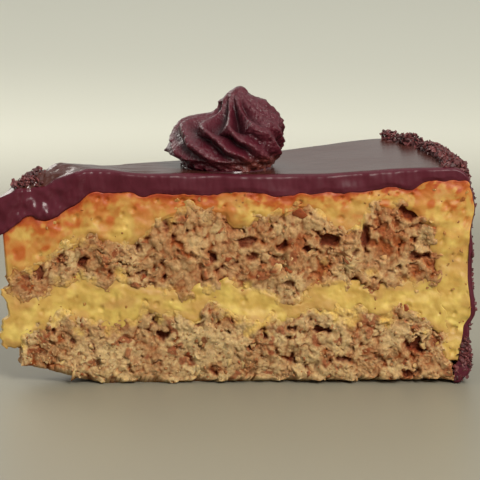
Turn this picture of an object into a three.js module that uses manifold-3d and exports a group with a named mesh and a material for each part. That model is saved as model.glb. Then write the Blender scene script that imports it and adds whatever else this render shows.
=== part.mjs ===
// A slice of walnut layer cake, in millimetres, +Z up.
//
// Two walnut sponges with a custard cream filling between them stand inside a coat of the same cream.
// Chocolate glaze covers the coat's top and outer wall, chocolate flakes cling to the glaze's rim and wall,
// and a piped chocolate rosette sits on top.
//
// The slice is a sector of a round cake. Its tip was on the cake's axis, the front cut runs along +X from
// there, and the back cut is turned from the front one by the slice's angle. Every layer is a box lattice bent
// into that sector: one way along the radius, one way around the axis and one way across its thickness.

import * as THREE from "three";
import { ImprovedNoise } from "three/addons/math/ImprovedNoise.js";
import { mergeVertices } from "three/addons/utils/BufferGeometryUtils.js";
import Module from "manifold-3d";

const { degToRad, lerp, smoothstep, seededRandom } = THREE.MathUtils;

// Driving dimensions
const CAKE_RADIUS = 119; // to the outside of the cream coat, a cake of about 240 mm with its glaze
const SLICE_ANGLE = degToRad(28.5); // a little under one of twelve slices
const TIP_RADIUS = 3; // the cut leaves the tip blunt
const LOWER_SPONGE_RADIUS = 116;
const UPPER_SPONGE_RADIUS = 113;
const STACK_NARROWS = [10, 24]; // heights between which the one radius goes over into the other
const LOWER_SPONGE_SET_BACK = 4; // crumbs that the tip has lost
const UPPER_SPONGE_SET_BACK = 1;
const SET_BACK_REACH = 9; // along the radius
const GAP = 0.5; // between neighbouring solids

// Joints between the layers along the front cut, as pairs of radius and height where each line turns
const LOWER_SPONGE_FOOT = [[6, 4.8], [30, 0]];
const LOWER_SPONGE_TOP = [
  [3, 11.2], [17, 16.8], [30, 14.8], [39, 19], [46, 17.8], [57, 19.7], [67, 15.8], [81, 19.6], [90, 18.5],
  [101, 19.4], [113, 13],
];
const UPPER_SPONGE_FOOT = [
  [3, 23.3], [8.5, 22], [25, 26.8], [46, 22.9], [60, 25.1], [75, 22], [87, 25.1], [99, 23.8], [113, 27.2],
];
const UPPER_SPONGE_TOP = [
  [3, 28.4], [28, 38], [34, 36.2], [47, 44.6], [57, 44], [65, 41.8], [78, 44.8], [90, 39], [102, 47.4],
  [113, 37],
];
const GLAZE_FOOT = [
  [2, 37.6], [10, 43], [13, 42], [27, 48.4], [34, 48.7], [44, 47.8], [59, 48.6], [68, 47.9], [84, 48.6],
  [105, 49.8], [116, 51.5],
];
const GLAZE_TOP = [[1.5, 47.2], [7, 49.2], [25, 54.6], [40, 53.5], [77, 53.4], [115, 55.2]];
const DRIFT = 8; // how far the humps of a joint move along the radius from the front cut to the back cut

// Outer wall of the cream coat and of the glaze
const COAT_FOOT = 6; // height of the cream's lower edge
const COAT_CORNER = 4; // radius of its upper edge
const GLAZE_TIP = 1.6; // radius where the glaze's top ends, past the cream's tip
const GLAZE_UNDER_TIP = 2;
const GLAZE_WALL = 1.2; // thickness on the wall
const GLAZE_FOOT_SPREAD = 1.6; // extra thickness where it pooled at the foot
const GLAZE_POOL = [2, 9]; // heights between which that thickness fades out
const GLAZE_LOWEST = 0.6;
const GLAZE_CORNER = 5;
const GLAZE_TOE_RADIUS = 116.8; // it runs in under the cream to here
const GLAZE_TOE = [COAT_FOOT - 2.4, COAT_FOOT - 0.8]; // heights between which it does
const EDGE_SHARE = 0.25; // share of the wall's lattice cells that lie on the rounded upper edge

// Relief of the two cuts, outwards and inwards from the plane of the knife
const CRUMB_DEPTH = 1.5;
const CRUMB_SIZE = 3.4;
const SMEAR_DEPTH = 0.45;
const SMEAR_SIZE = 7;
const RAGGED_EDGE = 1.3; // how far crumbs are missing upwards from the lower sponge's bottom edges
const RAGGED_SIZE = 2.9;

// Lattice cells
const ALONG = 48;
const ALONG_WALL = 12;
const AROUND = 4;
const SPONGE_ACROSS = 8;
const CREAM_ACROSS = 3;
const GLAZE_ACROSS = 2;

// Flakes of grated chocolate
const RIM_FLAKES = 40;
const WALL_FLAKES = 28;
const FLAKE_LENGTH = 4;
const FLAKE_THICKNESS = 1.5;
const RIM_WIDTH = 2.4; // of the strip on the rounded edge where they are heaped
const WALL_MARGIN = [4, 6]; // bare at the foot of the wall and under the rim

// Rosette, piped through a star nozzle and lifted with a twist
const ROSETTE_RADIUS_ON_CAKE = 61;
const ROSETTE_ANGLE_ON_CAKE = degToRad(15);
const ROSETTE_PROFILE = [
  [11.8, 0], [13.8, 1.2], [15.2, 3.2], [15.6, 6], [15.2, 8.6], [14, 10.8], [11.4, 12.6], [8.9, 14.2], [6.8, 16],
  [4.8, 17.8], [2.6, 19], [1.5, 20.2], [1.1, 21.3],
];
const ROSETTE_HEIGHT = 21.8;
const ROSETTE_RIDGES = 8;
const ROSETTE_GROOVE = 0.25; // depth of a groove as a share of the radius
const ROSETTE_TWIST = degToRad(-115); // from the base to the peak
const ROSETTE_LEAN = [[8, 0], [14.5, 4.4], [18, 5.6], [21.5, 3.4]]; // height and lean to +X
const ROSETTE_SEGMENTS = 56;

const perlin = new ImprovedNoise();
const wasm = await Module();
wasm.setup();

// Height of a joint at a radius, level at each listed point and easing from one to the next.
function heightAt(joint, radius) {
  const next = joint.findIndex(([r]) => r > radius);
  if (next === 0) return joint[0][1];
  if (next < 0) return joint.at(-1)[1];
  const [r0, z0] = joint[next - 1];
  const [r1, z1] = joint[next];
  return lerp(z0, z1, smoothstep(radius, r0, r1));
}

// The same joint away from the front cut: v is 0 at the front cut and 1 at the back cut.
function jointHeight(joint, radius, v) {
  return heightAt(joint, radius + DRIFT * v * Math.sin((Math.PI * radius) / CAKE_RADIUS));
}

// Outside radius of the stacked sponges and filling: the lower sponge is the wider one.
function stackRadius(height) {
  return lerp(LOWER_SPONGE_RADIUS, UPPER_SPONGE_RADIUS, smoothstep(height, ...STACK_NARROWS));
}

// Relief of a cut: sponge tears into crumbs, cream and glaze only smear. side tells the two cuts apart.
function crumbRelief(radius, height, side) {
  const coarse = perlin.noise(radius / CRUMB_SIZE, height / CRUMB_SIZE, 5.3 + 9.1 * side);
  const fine = perlin.noise((2.3 * radius) / CRUMB_SIZE, (2.3 * height) / CRUMB_SIZE, 2.7 + 9.1 * side);
  return CRUMB_DEPTH * (coarse + 0.6 * fine - 0.15);
}

function smearRelief(radius, height, side) {
  return SMEAR_DEPTH * perlin.noise(radius / SMEAR_SIZE, (1.8 * height) / SMEAR_SIZE, 3.1 + 4.7 * side);
}

// A closed solid in the sector. place(u, v, w) gives the radius and height of a lattice point, with u along
// the layer from the tip, v around from the front cut and w across its thickness. relief moves the points of
// the two cuts.
function sectorSolid(along, across, relief, place) {
  const lattice = new THREE.BoxGeometry(1, 1, 1, along, AROUND, across);
  const position = lattice.getAttribute("position");
  const corner = new THREE.Vector3(0.5, 0.5, 0.5);
  const point = new THREE.Vector3();
  for (let i = 0; i < position.count; i++) {
    const [u, v, w] = point.fromBufferAttribute(position, i).add(corner).toArray();
    const [flatRadius, flatHeight] = place(u, v, w);
    let turn = v;
    if (v === 0 || v === 1) {
      const outward = relief(flatRadius, flatHeight, v) / (flatRadius * SLICE_ANGLE);
      turn = v === 0 ? -outward : 1 + outward;
    }
    const [radius, height] = place(u, turn, w);
    const angle = turn * SLICE_ANGLE;
    position.setXYZ(i, radius * Math.cos(angle), radius * Math.sin(angle), height);
  }
  return closed(lattice);
}

// Drops all but the positions, so that the faces share their vertices.
function closed(geometry) {
  geometry.deleteAttribute("normal");
  geometry.deleteAttribute("uv");
  return mergeVertices(geometry, 1e-4);
}

// A flat layer of the stack, from one joint to the next, out to the stack's wall.
function stackLayer(across, relief, tipSetBack, foot, top) {
  return sectorSolid(ALONG, across, relief, (u, v, w) => {
    const even = lerp(TIP_RADIUS, UPPER_SPONGE_RADIUS, u);
    const height = lerp(foot(even, v), top(even, v), w);
    const stretch = (stackRadius(height) - TIP_RADIUS) / (UPPER_SPONGE_RADIUS - TIP_RADIUS);
    const setBack = tipSetBack * Math.exp((TIP_RADIUS - even) / SET_BACK_REACH);
    return [TIP_RADIUS + (even - TIP_RADIUS) * stretch + setBack, height];
  });
}

// The lower sponge stands on its flat bottom, which is ragged only along the two cuts.
function lowerSponge() {
  const foot = (radius, v) => {
    const inside = v > 0.1 && v < 0.9;
    const lost = inside ? 0 : RAGGED_EDGE * Math.abs(perlin.noise(radius / RAGGED_SIZE, 0.5, 7 * v));
    return heightAt(LOWER_SPONGE_FOOT, radius) + lost;
  };
  const top = (radius, v) => jointHeight(LOWER_SPONGE_TOP, radius, v);
  return stackLayer(SPONGE_ACROSS, crumbRelief, LOWER_SPONGE_SET_BACK, foot, top);
}

function creamFilling() {
  const foot = (radius, v) => jointHeight(LOWER_SPONGE_TOP, radius, v) + GAP;
  const top = (radius, v) => jointHeight(UPPER_SPONGE_FOOT, radius, v) - GAP;
  return stackLayer(CREAM_ACROSS, smearRelief, 0, foot, top);
}

function upperSponge() {
  const foot = (radius, v) => jointHeight(UPPER_SPONGE_FOOT, radius, v);
  const top = (radius, v) => jointHeight(UPPER_SPONGE_TOP, radius, v);
  return stackLayer(SPONGE_ACROSS, crumbRelief, UPPER_SPONGE_SET_BACK, foot, top);
}

// A layer that lies over the top and hangs down the outer wall. inside and outside each give the radius and
// height of their line at a place s along it, from 0 to 1 over the top and from 1 to 2 down the wall.
function hangingLayer(across, inside, outside) {
  const cells = ALONG + ALONG_WALL;
  return sectorSolid(cells, across, smearRelief, (u, v, w) => {
    const cell = u * cells;
    const s = cell <= ALONG ? cell / ALONG : 1 + (cell - ALONG) / ALONG_WALL;
    const [r0, z0] = inside(s, v);
    const [r1, z1] = outside(s, v);
    return [lerp(r0, r1, w), lerp(z0, z1, w)];
  });
}

// The line of a surface whose top follows a joint and whose wall stands at a radius, with a rounded edge
// between. lift raises the top and wall(height) gives the wall's radius, down to a foot.
function roundedLine(joint, tip, lift, corner, wall, foot) {
  return (s, v) => {
    const start = wall(GLAZE_TOP.at(-1)[1]) - corner;
    const shoulder = jointHeight(joint, start, v) + lift - corner;
    if (s <= 1) {
      const radius = lerp(tip, start, s);
      return [radius, jointHeight(joint, radius, v) + lift];
    }
    if (s <= 1 + EDGE_SHARE) {
      const turn = ((s - 1) / EDGE_SHARE) * (Math.PI / 2);
      return [start + corner * Math.sin(turn), shoulder + corner * Math.cos(turn)];
    }
    const height = lerp(shoulder, foot, (s - 1 - EDGE_SHARE) / (1 - EDGE_SHARE));
    return [wall(height), height];
  };
}

function creamCoat() {
  const inside = (s, v) => {
    const radius = lerp(TIP_RADIUS, UPPER_SPONGE_RADIUS, Math.min(s, 1));
    const top = jointHeight(UPPER_SPONGE_TOP, radius, v) + GAP;
    const height = s <= 1 ? top : lerp(top, COAT_FOOT, s - 1);
    return [s < 1 ? radius : stackRadius(height) + GAP, height];
  };
  const wall = () => CAKE_RADIUS;
  const outside = roundedLine(GLAZE_FOOT, TIP_RADIUS, 0, COAT_CORNER, wall, COAT_FOOT);
  return hangingLayer(CREAM_ACROSS, inside, outside);
}

// Radius of the glaze's outside, which spreads where it pooled at the foot.
function glazeRadius(height) {
  const spread = GLAZE_FOOT_SPREAD * (1 - smoothstep(height, ...GLAZE_POOL));
  return CAKE_RADIUS + GAP + GLAZE_WALL + spread;
}

function plainGlaze() {
  const toe = (height) => lerp(GLAZE_TOE_RADIUS, CAKE_RADIUS + GAP, smoothstep(height, ...GLAZE_TOE));
  const inside = roundedLine(GLAZE_FOOT, GLAZE_UNDER_TIP, GAP, COAT_CORNER, toe, GLAZE_LOWEST);
  const outside = roundedLine(GLAZE_TOP, GLAZE_TIP, 0, GLAZE_CORNER, glazeRadius, GLAZE_LOWEST);
  return hangingLayer(GLAZE_ACROSS, inside, outside);
}

function toManifold(geometry) {
  const vertProperties = new Float32Array(geometry.getAttribute("position").array);
  const triVerts = new Uint32Array(geometry.index.array);
  return new wasm.Manifold(new wasm.Mesh({ numProp: 3, vertProperties, triVerts }));
}

function toGeometry(manifold) {
  const { vertProperties, triVerts } = manifold.getMesh();
  return new THREE.BufferGeometry()
    .setAttribute("position", new THREE.BufferAttribute(vertProperties, 3))
    .setIndex(new THREE.BufferAttribute(triVerts, 1));
}

// One chip, half sunk in the glaze at an angle around the cake, either heaped on the rim or stuck to the wall.
function flake(share, onRim) {
  const angle = SLICE_ANGLE * share;
  const rimHeight = GLAZE_TOP.at(-1)[1];
  const overEdge = onRim ? RIM_WIDTH * seededRandom() : 0;
  const edgeDrop = GLAZE_CORNER - Math.sqrt(GLAZE_CORNER ** 2 - overEdge ** 2);
  const wallHeight = lerp(WALL_MARGIN[0], rimHeight - WALL_MARGIN[1], seededRandom());
  const height = onRim ? rimHeight - edgeDrop : wallHeight;
  const radius = glazeRadius(height) + (onRim ? overEdge - GLAZE_CORNER : 0);
  const half = FLAKE_LENGTH / 2;
  const chip = new THREE.IcosahedronGeometry(1, 0);
  chip.scale(FLAKE_THICKNESS / 2, half * (0.6 + 0.5 * seededRandom()), half * (0.5 + 0.4 * seededRandom()));
  chip.rotateX(Math.PI * seededRandom());
  chip.rotateY((onRim ? 1.6 : 0.4) * (seededRandom() - 0.5));
  chip.rotateZ(angle + (onRim ? 2.4 * (seededRandom() - 0.5) : 0));
  chip.translate(radius * Math.cos(angle), radius * Math.sin(angle), height);
  return toManifold(closed(chip));
}

function chocolateGlaze() {
  seededRandom(7);
  const spread = (count, onRim) =>
    Array.from({ length: count }, (_, index) => flake((index + 0.3 + 0.4 * seededRandom()) / count, onRim));
  const chips = [...spread(RIM_FLAKES, true), ...spread(WALL_FLAKES, false)];
  return toGeometry(chips.reduce((body, chip) => body.add(chip), toManifold(plainGlaze())));
}

// A turned body with star grooves that wind up to the peak. The grooves are sharp and the ridges round.
function rosette() {
  const outline = [
    new THREE.Vector2(0, 0),
    ...ROSETTE_PROFILE.map(([radius, height]) => new THREE.Vector2(radius, height)),
    new THREE.Vector2(0, ROSETTE_HEIGHT),
  ];
  const body = closed(new THREE.LatheGeometry(outline, ROSETTE_SEGMENTS).rotateX(Math.PI / 2));
  const position = body.getAttribute("position");
  for (let i = 0; i < position.count; i++) {
    const height = position.getZ(i);
    const angle = Math.atan2(position.getY(i), position.getX(i));
    const ridge = Math.abs(Math.cos((ROSETTE_RIDGES / 2) * angle));
    const radius = Math.hypot(position.getX(i), position.getY(i)) * (1 - ROSETTE_GROOVE * (1 - ridge));
    const turned = angle + (ROSETTE_TWIST * height) / ROSETTE_HEIGHT;
    const lean = heightAt(ROSETTE_LEAN, height);
    position.setXY(i, radius * Math.cos(turned) + lean, radius * Math.sin(turned));
  }
  return withoutSlivers(body);
}

// A turned outline that starts on the axis leaves triangles with no area there.
function withoutSlivers(geometry) {
  const { array } = geometry.index;
  const kept = [];
  for (let i = 0; i < array.length; i += 3) {
    const [a, b, c] = array.subarray(i, i + 3);
    if (a !== b && b !== c && c !== a) kept.push(a, b, c);
  }
  return geometry.setIndex(kept);
}

const SPONGE = new THREE.MeshStandardMaterial({ color: 0xa0764c, roughness: 0.95, metalness: 0 });
const CREAM = new THREE.MeshStandardMaterial({ color: 0xcaa65c, roughness: 0.45, metalness: 0 });
const GLAZE = new THREE.MeshStandardMaterial({ color: 0x4a2426, roughness: 0.15, metalness: 0 });
const PIPED_CHOCOLATE = new THREE.MeshStandardMaterial({ color: 0x4a2528, roughness: 0.4, metalness: 0 });

function piece(name, geometry, material) {
  const mesh = new THREE.Mesh(geometry, material);
  mesh.name = name;
  return mesh;
}

// The slice as it stands on the cake's axis
const slice = new THREE.Group();
slice.add(
  piece("lower_sponge", lowerSponge(), SPONGE),
  piece("cream_filling", creamFilling(), CREAM),
  piece("upper_sponge", upperSponge(), SPONGE),
  piece("cream_coat", creamCoat(), CREAM),
  piece("chocolate_glaze", chocolateGlaze(), GLAZE),
);
const swirl = piece("rosette", rosette(), PIPED_CHOCOLATE);
swirl.position.set(
  ROSETTE_RADIUS_ON_CAKE * Math.cos(ROSETTE_ANGLE_ON_CAKE),
  ROSETTE_RADIUS_ON_CAKE * Math.sin(ROSETTE_ANGLE_ON_CAKE),
  heightAt(GLAZE_TOP, ROSETTE_RADIUS_ON_CAKE - ROSETTE_PROFILE[0][0]) + GAP,
);
slice.add(swirl);

// The part's origin is under the middle of the slice, at the height of its bottom.
const box = new THREE.Box3().setFromObject(slice, true);
const middle = box.getCenter(new THREE.Vector3());
slice.position.set(-middle.x, -middle.y, -box.min.z);

const cake = new THREE.Group();
cake.add(slice);

export default cake;
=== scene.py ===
"""A slice of walnut layer cake with custard cream, chocolate glaze, chocolate flakes and a piped rosette.

Sizes are in millimetres in the cake's own frame, with its axis at the slice's tip and the front cut along
+X. A point's share v runs from 0 on the front cut to 1 on the back cut.
"""

from functools import partial
from math import cos, hypot, pi, radians, sin, sqrt, tan

import bpy
import numpy as np
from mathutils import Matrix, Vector


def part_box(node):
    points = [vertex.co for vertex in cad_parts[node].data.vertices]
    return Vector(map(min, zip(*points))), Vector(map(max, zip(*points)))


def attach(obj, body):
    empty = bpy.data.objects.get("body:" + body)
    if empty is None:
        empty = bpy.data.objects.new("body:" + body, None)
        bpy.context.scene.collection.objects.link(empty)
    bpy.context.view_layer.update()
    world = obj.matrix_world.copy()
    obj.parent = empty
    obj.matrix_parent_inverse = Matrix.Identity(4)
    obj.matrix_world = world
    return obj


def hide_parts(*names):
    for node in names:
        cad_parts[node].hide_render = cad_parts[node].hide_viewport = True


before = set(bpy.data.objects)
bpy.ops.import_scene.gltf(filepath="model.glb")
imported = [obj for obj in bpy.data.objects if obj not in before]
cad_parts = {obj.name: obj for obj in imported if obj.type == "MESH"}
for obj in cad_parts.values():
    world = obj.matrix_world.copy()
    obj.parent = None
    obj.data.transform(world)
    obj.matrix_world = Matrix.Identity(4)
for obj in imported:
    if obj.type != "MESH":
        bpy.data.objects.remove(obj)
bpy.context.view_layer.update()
scene = bpy.context.scene


# Lower walnut sponge
# A sponge baked from ground and chopped walnuts. The knife has torn its crumb into clumps with open pores,
# and walnut pieces with brown skin show in it. It stands on its flat bottom and carries all the rest.

MM = 0.001
SLICE_ANGLE = radians(28.5)
CAKE_RADIUS = 119.0
TIP_RADIUS = 3.0
LOWER_RADIUS = 116.0
UPPER_RADIUS = 113.0
STACK_NARROWS = [(10, LOWER_RADIUS), (24, UPPER_RADIUS)]
LOWER_SET_BACK = 4.5
SET_BACK_REACH = 9.0
DRIFT = 8.0
ROSETTE_RADIUS = 61.0
ROSETTE_ANGLE = radians(15)
ROSETTE_PLACE = ROSETTE_RADIUS * np.array([cos(ROSETTE_ANGLE), sin(ROSETTE_ANGLE)])

# Joints between layers: the radius and height of the points where they are level.
LOWER_FOOT = [(6, 4.8), (30, 0)]
LOWER_TOP = [
    (3, 11.2), (17, 16.8), (30, 14.8), (39, 19), (46, 17.8), (57, 19.7), (67, 15.8), (81, 19.6), (90, 18.5),
    (101, 19.4), (113, 13),
]
JOINT_ROUGHNESS = 1.5
JOINT_WAVE = 4.2
JOINT_LAP = 1.4
JOINT_SINK = 0.5
TIP_RAGGED = 1.8
CLUMP_SIZE = 3.8
CLUMP_HEIGHT = 0.8
CRUMB_SIZE = 1.7
CRUMB_HEIGHT = 0.8
GRIT_SIZE = 0.85
GRIT_HEIGHT = 0.4
TEAR_SIZE = 2.6
TEAR_HEIGHT = 0.5
GAP_DEPTH = 0.65
CUT_LEVEL = 0.6
WARP_SIZE = 2.2
CRUMB_WARP = 0.45
CREASE = 0.2
SKIN_SIZE = 2.8

# Pores: their spacing, the widest, the deepest, the share of the depth kept on the front cut, and a seed.
PORES = [(7.5, 2.0, 2.4, 0.4, 41), (3.4, 0.7, 1.2, 1.0, 43)]

# Holes of the front cut: radius, height, half width, half height and depth, negative for a nut.
LOWER_HOLES = [
    (42.8, 12.7, 1, 1.2, 3), (40.5, 16, 1, 1.5, 1.8), (82.5, 14, 1.5, 0.8, 2.4),
    (106.5, 10.2, 1.8, 1.8, 2.8), (105.2, 2.8, 1.8, 1, 2.2), (74.8, 14.5, 1.8, 0.6, 1.8),
    (65.2, 9.1, 0.9, 0.8, 2.2), (88.2, 6.1, 1.5, 0.8, 1.6), (51.2, 17.3, 1, 1.2, 1.8),
    (68.2, 11.9, 0.8, 0.8, 1.8), (15.5, 14, 0.8, 0.8, 1.6), (75.2, 6.3, 1, 1.2, 1.4),
    (98, 16, 1.5, 1.2, -1), (90.8, 10.9, 1.2, 1.5, -0.8), (94.5, 13.4, 1, 1, -0.6),
    (34.5, 7.9, 1, 1.2, -0.7), (115, 3.8, 1.5, 1.5, -0.7),
]
LOWER_SMEAR_REACH = 4.2
SPONGE_GRID = (480, 10, 90)

# The cake's axis in the part's frame, from two nodes whose places on the cake are known.
AXIS = np.array([
    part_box("lower_sponge")[1].x / MM - LOWER_RADIUS,
    (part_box("rosette")[0].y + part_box("rosette")[1].y) / 2 / MM - ROSETTE_PLACE[1],
])


def ease(t):
    """From 0 to 1 with level ends: 3t^2 - 2t^3 of t held between 0 and 1."""
    t = np.clip(t, 0, 1)
    return t * t * (3 - 2 * t)


def blend(start, end, t):
    """Goes from start to end as t goes from 0 to 1."""
    return start + (end - start) * t


def along_line(line, x):
    """The value of a line at x: level at each listed point, easing from one to the next."""
    at, value = np.array(line, float).T
    k = np.clip(np.searchsorted(at, x, side="right"), 1, len(at) - 1)
    return blend(value[k - 1], value[k], ease((x - at[k - 1]) / (at[k] - at[k - 1])))


def cell_random(cell, seed):
    """A repeatable number from 0 to 1 per whole-number cell, by products, exclusive or and shifts."""
    mixed = (cell[..., 0] * 73856093) ^ (cell[..., 1] * 19349663) ^ (cell[..., 2] * 83492791)
    mixed = mixed ^ (seed * 2654435761)
    mixed = (mixed ^ (mixed >> 15)) * 2246822519
    mixed = (mixed ^ (mixed >> 13)) * 3266489917
    return ((mixed ^ (mixed >> 16)) & 0xFFFFFF) / 0x1000000


def smooth_noise(points, size, seed):
    """Random values on a lattice of the given size, blended between a cell's eight corners, from -1 to 1."""
    scaled = points / size
    cell = np.floor(scaled).astype(np.int64)
    t = ease(scaled - cell)
    total = np.zeros(len(points))
    for corner in np.ndindex(2, 2, 2):
        weight = np.prod(np.where(corner, t, 1 - t), axis=-1)
        total += weight * cell_random(cell + corner, seed)
    return 2 * total - 1


def fractal(points, size, octaves, seed):
    """A sum of noises, each half the size and half the height of the one before."""
    return sum(smooth_noise(points, size / 2**k, seed + 17 * k) / 2**k for k in range(octaves))


def nearest_cells(points, size, seed):
    """Distance to the nearest of one random point per square cell, and that cell's random number."""
    scaled = points / size
    cell = np.floor(scaled).astype(np.int64)
    near = np.full(len(points), 9.0)
    pick = np.zeros(len(points))
    for step in np.ndindex(3, 3):
        other = cell + [step[0] - 1, step[1] - 1, 0]
        x = other[:, 0] + cell_random(other, seed) - scaled[:, 0]
        y = other[:, 1] + cell_random(other, seed + 1) - scaled[:, 1]
        distance = np.hypot(x, y)
        pick = np.where(distance < near, cell_random(other, seed + 2), pick)
        near = np.minimum(near, distance)
    return near * size, pick


def in_plan(radius, v, level):
    """Flat coordinates from the cake's axis, on a level that keeps noises apart."""
    angle = v * SLICE_ANGLE
    return np.stack([radius * np.cos(angle), radius * np.sin(angle), np.full_like(radius, level)], -1)


def drifted(radius, v):
    """Radius to take a height from: humps drift along the radius with v, most of all half way out."""
    return radius + DRIFT * v * np.sin(pi * radius / CAKE_RADIUS)


def joint_height(joint, roughness, seed, radius, v):
    """A joint anywhere between the cuts: its humps drift, and noise makes it as uneven as crumb in cream."""
    spot = in_plan(radius, v, 40.0 * seed)
    return along_line(joint, drifted(radius, v)) + roughness * fractal(spot, JOINT_WAVE, 3, seed)


def stack_radius(height, v):
    """Outside radius of the stack: the lower sponge is wider, and noise makes the crumb's edge uneven."""
    spot = np.stack([height, v * SLICE_ANGLE * UPPER_RADIUS, 0 * height], -1)
    return along_line(STACK_NARROWS, height) + JOINT_ROUGHNESS * (fractal(spot, 5, 3, 6) - 0.5)


def block_skin(along, around, across):
    """The skin of a block of cells: shares u, v, w of its points along, around and across, and its
    four-cornered faces, counter-clockwise from outside."""
    shape = (along + 1, around + 1, across + 1)
    u, v, w = np.meshgrid(*(np.linspace(0, 1, n) for n in shape), indexing="ij")
    skin = np.zeros(shape, bool)
    skin[[0, -1]] = skin[:, [0, -1]] = skin[:, :, [0, -1]] = True
    number = np.cumsum(skin).reshape(shape) - 1

    def wall(sheet, outward):
        """The faces of one side, turned round where they would look inwards."""
        quads = np.stack([sheet[:-1, :-1], sheet[1:, :-1], sheet[1:, 1:], sheet[:-1, 1:]], -1).reshape(-1, 4)
        return quads if outward else quads[:, ::-1]

    faces = np.concatenate([
        wall(number[:, 0], True), wall(number[:, -1], False),
        wall(number[:, :, -1], True), wall(number[:, :, 0], False),
        wall(number[-1], True), wall(number[0], False),
    ])
    return u[skin], v[skin], w[skin], faces


def bend_into_slice(radius, height, v, out):
    """Carries points around the axis by v times the slice's angle, and moves those near a cut along its
    normal, fading out a third of the way in. Hollows are less deep near the thin tip."""
    angle = v * SLICE_ANGLE
    out = np.where(out < 0, out * np.clip(radius * SLICE_ANGLE / 10, 0.15, 1), out)
    front = out * np.clip(1 - 3 * v, 0, 1)
    back = out * np.clip(3 * v - 2, 0, 1)
    x = radius * np.cos(angle) - back * sin(SLICE_ANGLE)
    y = radius * np.sin(angle) + back * cos(SLICE_ANGLE) - front
    return np.stack([x + AXIS[0], y + AXIS[1], height], -1)


def cut_sheet(radius, height, v):
    """Flat coordinates on the nearer cut, with the two cuts far apart."""
    return np.stack([radius, height, np.where(v < 0.5, 0.0, 1000.0)], -1)


def cut_swell(sheet):
    """How far a whole cut stands out: the slow wander of the knife, shared by all layers."""
    return 0.7 * fractal(sheet, 14, 2, 3) + 0.25 * fractal(sheet, 5, 2, 4)


def lumps(points, size, seed):
    """Rounded lumps with soft creases between them: how far a noise is from zero, level near zero."""
    return np.sqrt(smooth_noise(points, size, seed) ** 2 + CREASE**2) - CREASE


def packed_grains(sheet, size, seed):
    """Domes side by side around the cells' random points: their heights, from 0 to 1, and random numbers."""
    near, pick = nearest_cells(sheet, size, seed)
    return (0.5 + 0.5 * pick) * np.sqrt(np.clip(1 - (near / (0.8 * size)) ** 2, 0, 1)), pick


def sunk(to_joint):
    """How far a surface draws back beyond its joint, so that crumb and cream meet in an uneven line."""
    return JOINT_SINK * ease(-to_joint / JOINT_LAP)


def crumb_relief(sheet, smear, stain, to_joint, openness, holes):
    """Torn crumb: clumps with crumbs and grit packed on them, and gaps between some. Listed holes and nuts
    are ragged ellipses on the front cut, and pores lie around random points of both. Smeared cream fills
    it up, and skin lies on nuts and where a noise is high. Painted shade browns holes and pores with the
    skin colour, darkens the crumb between grains and in deep places, and makes the stain stronger in low
    places."""
    warp = np.stack([fractal(sheet, WARP_SIZE, 3, 1), fractal(sheet, WARP_SIZE, 3, 2), 0 * smear], -1)
    bent = sheet + CRUMB_WARP * warp
    crumbs, pick = packed_grains(bent, CRUMB_SIZE, 25)
    grains, _ = packed_grains(bent, GRIT_SIZE, 29)
    out = CLUMP_HEIGHT * lumps(bent, CLUMP_SIZE, 21) + CRUMB_HEIGHT * crumbs + GRIT_HEIGHT * grains
    out = out + TEAR_HEIGHT * fractal(sheet, TEAR_SIZE, 3, 33)
    torn = ease((0.45 - crumbs) / 0.3) * ease((fractal(bent, 3, 2, 53) + 0.05) / 0.4)
    out = out - CUT_LEVEL - GAP_DEPTH * openness * torn
    front = sheet[:, 2] == 0
    ragged = fractal(bent, 1.6, 3, 51)
    hole_shade = 0 * smear
    nuts = 0 * smear
    for radius, height, wide, tall, deep in holes:
        inside = 1.2 - np.hypot((bent[:, 0] - radius) / wide, (bent[:, 1] - height) / tall) + 0.6 * ragged
        here = ease(inside / 0.6 + 0.2) * front
        out = out - deep * here
        if deep > 0:
            hole_shade = np.maximum(hole_shade, ease(inside + 0.8) * front)
        else:
            nuts = np.maximum(nuts, here)
    for spacing, widest, deepest, kept, seed in PORES:
        near, size = nearest_cells(bent, spacing, seed)
        inside = openness * widest * size**2 + fractal(bent, 2.0, 3, seed + 5) - near
        uneven = 0.7 + 0.7 * smooth_noise(bent, 1.3, seed + 9)
        out = out - deepest * np.where(front, kept, 1) * uneven * ease(inside / 0.7 + 0.5) * (size > 0.35)
        brown = ease(size + 0.4 * fractal(bent, 5, 2, seed + 7) - 0.2)
        hole_shade = np.maximum(hole_shade, ease(inside / widest + 0.9) * brown)
    # Tone is part random and part painted shade: darker between crumbs and grains, paler on their tops.
    tone = 1.2 + 0.4 * fractal(bent, 4, 3, 45) + 0.4 * (pick - 0.5) - crumbs - 0.6 * grains
    spots = 0.8 * ease((fractal(bent, SKIN_SIZE, 3, 47) - 0.55) / 0.3)
    fields = {
        # Painted shade: darkens deep places red-brown, less where cream is smeared.
        "painted_deep_shade": 0.92 * ease((-0.5 - out) / 1.2) * (1 - smear),
        "tone": np.clip(tone, 0, 1),
        "nut": 0 * smear,
        # Skin colour: nut skin on spots and nuts, and painted shade in and around holes and pores.
        "skin": np.maximum.reduce([spots, 0.35 * hole_shade, 0.7 * nuts]) * (1 - smear),
        "smear": smear,
        # The stain is real; painted shade makes it stronger in low places.
        "stain": np.clip(stain * (0.55 + 0.95 * ease(0.4 - out)), 0, 0.95),
    }
    return out * (1 - 0.6 * smear) - sunk(to_joint), fields


def tip_ragged(radius, height):
    """How far the tip's edge is pushed out or in: noise up its height that fades along the radius."""
    return TIP_RAGGED * fractal(np.outer(height, [1, 0, 0]), 3.6, 3, 7) * np.exp((TIP_RADIUS - radius) / 4)


def stretched(even, height, v):
    """Radius of a point, from its radius in an even stack: the stack's uneven wall pulls it along."""
    stretch = (stack_radius(height, v) - TIP_RADIUS) / (UPPER_RADIUS - TIP_RADIUS)
    return blend(TIP_RADIUS, even, stretch) + tip_ragged(even, height)


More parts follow.
